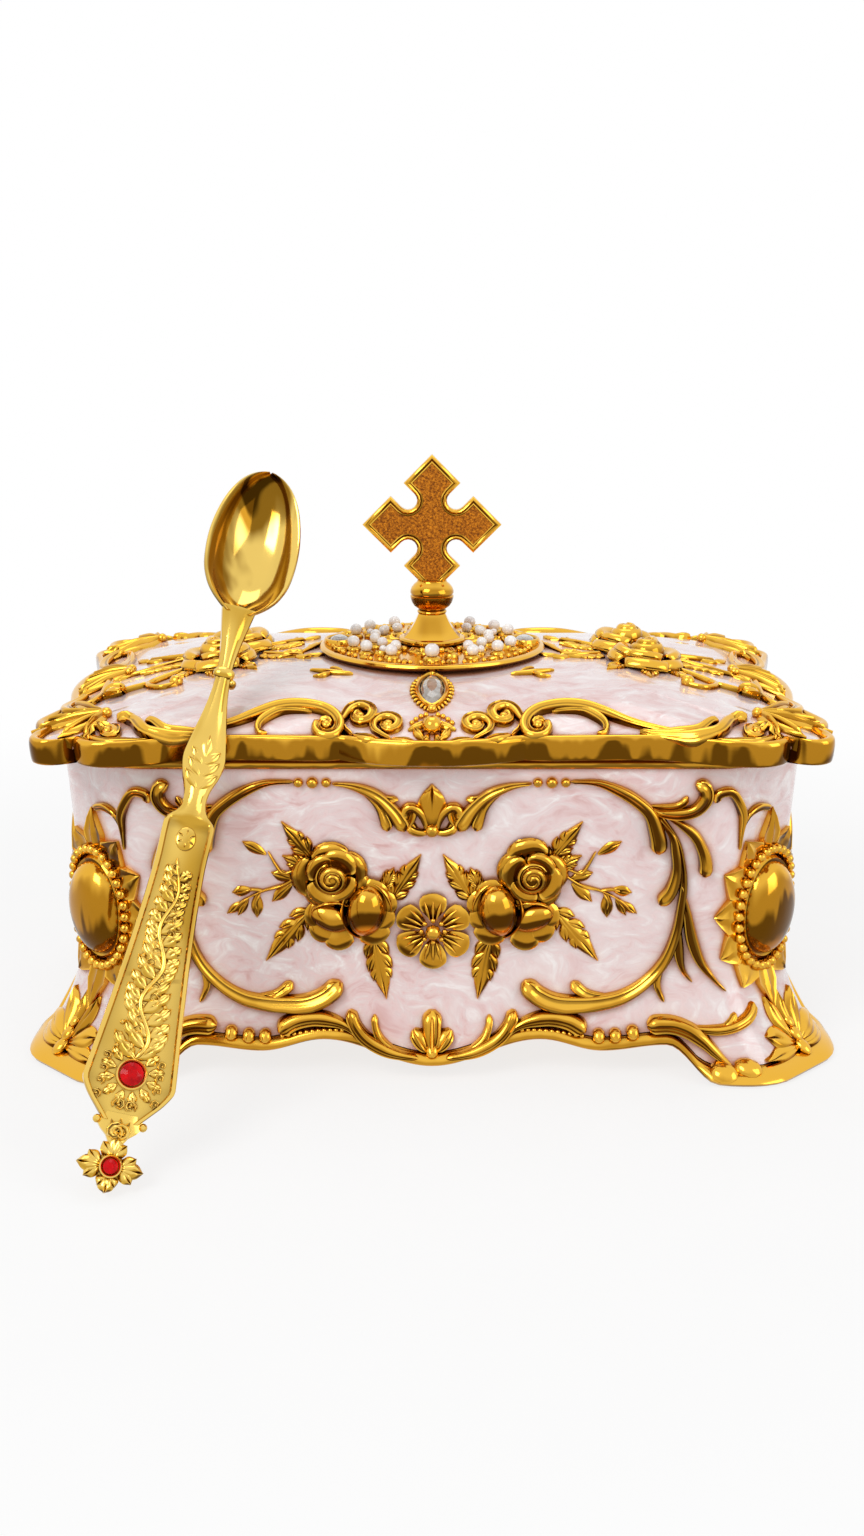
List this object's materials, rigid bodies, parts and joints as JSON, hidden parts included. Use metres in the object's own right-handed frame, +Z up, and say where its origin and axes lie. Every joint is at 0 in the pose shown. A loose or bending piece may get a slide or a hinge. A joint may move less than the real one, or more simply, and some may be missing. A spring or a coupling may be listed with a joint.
{
  "type": "incense box",
  "caption": "Baroque incense casket with hinged scalloped lid, enamelled walls, pearl plate, cross finial and a loose incense spoon.",
  "frame": {"origin": "middle of the floor plate's underside", "axes": "+X to the right along the long side, -Y to the front, +Z up"},
  "size_m": [0.1656, 0.1514, 0.1188],
  "materials": {
    "deep_gold": "polished gilt",
    "spoon_gold": "polished gilt",
    "pink_enamel": "pearlescent streaky enamel",
    "crystal": "faceted clear stone",
    "ruby": "polished red stone",
    "grainy_bronze": "grained",
    "steel": "satin"
  },
  "bodies": {
    "box": {"body_casting": "deep_gold", "body_enamel": "pink_enamel", "floor_plate": "deep_gold", "floor_screw_1": "steel", "floor_screw_2": "steel", "floor_screw_3": "steel", "floor_screw_4": "steel", "front_frame": "deep_gold", "back_frame": "deep_gold", "front_roses": "deep_gold", "front_garland": "deep_gold", "right_frame": "deep_gold", "right_roses": "deep_gold", "left_frame": "deep_gold", "left_roses": "deep_gold", "medallion_front_right": "deep_gold", "cabochon_front_right": "deep_gold", "foot_leaf_front_right": "deep_gold", "medallion_front_left": "deep_gold", "cabochon_front_left": "deep_gold", "foot_leaf_front_left": "deep_gold", "medallion_back_right": "deep_gold", "cabochon_back_right": "deep_gold", "foot_leaf_back_right": "deep_gold", "medallion_back_left": "deep_gold", "cabochon_back_left": "deep_gold", "foot_leaf_back_left": "deep_gold", "hinge_leaf_body_right": "deep_gold", "hinge_pin_right": "steel", "hinge_leaf_body_left": "deep_gold", "hinge_pin_left": "steel"},
    "lid": {"lid_casting": "deep_gold", "lid_enamel": "pink_enamel", "lid_right_border": "deep_gold", "lid_left_border": "deep_gold", "lid_right_roses": "deep_gold", "lid_left_roses": "deep_gold", "pearl_plate": "deep_gold", "bezel_front": "deep_gold", "crystal_front": "crystal", "bezel_right": "deep_gold", "crystal_right": "crystal", "bezel_left": "deep_gold", "crystal_left": "crystal", "finial_stem": "deep_gold", "finial_nut": "steel", "cross_plate": "deep_gold", "cross_inlay_front": "grainy_bronze", "cross_inlay_back": "grainy_bronze", "hinge_leaf_lid_right": "deep_gold", "hinge_leaf_lid_left": "deep_gold"},
    "spoon": {"spoon_casting": "spoon_gold", "spoon_ruby_large": "ruby", "spoon_ruby_small": "ruby"}
  },
  "joints": [
    {"name": "lid_hinge", "type": "hinge", "parent": "box", "child": "lid", "pos_m": [0, 0.047, 0.0531], "axis": [-1, 0, 0], "range_deg": [0, 100]},
    {"name": "spoon_lift", "type": "slide", "parent": "box", "child": "spoon", "axis": [0, -0.8351, 0.5501], "range_m": [0, 0.12]}
  ],
  "couplings": [
    {"joint": "spoon_lift", "follows": "lid_hinge", "m_per_rad": 0.06}
  ]
}
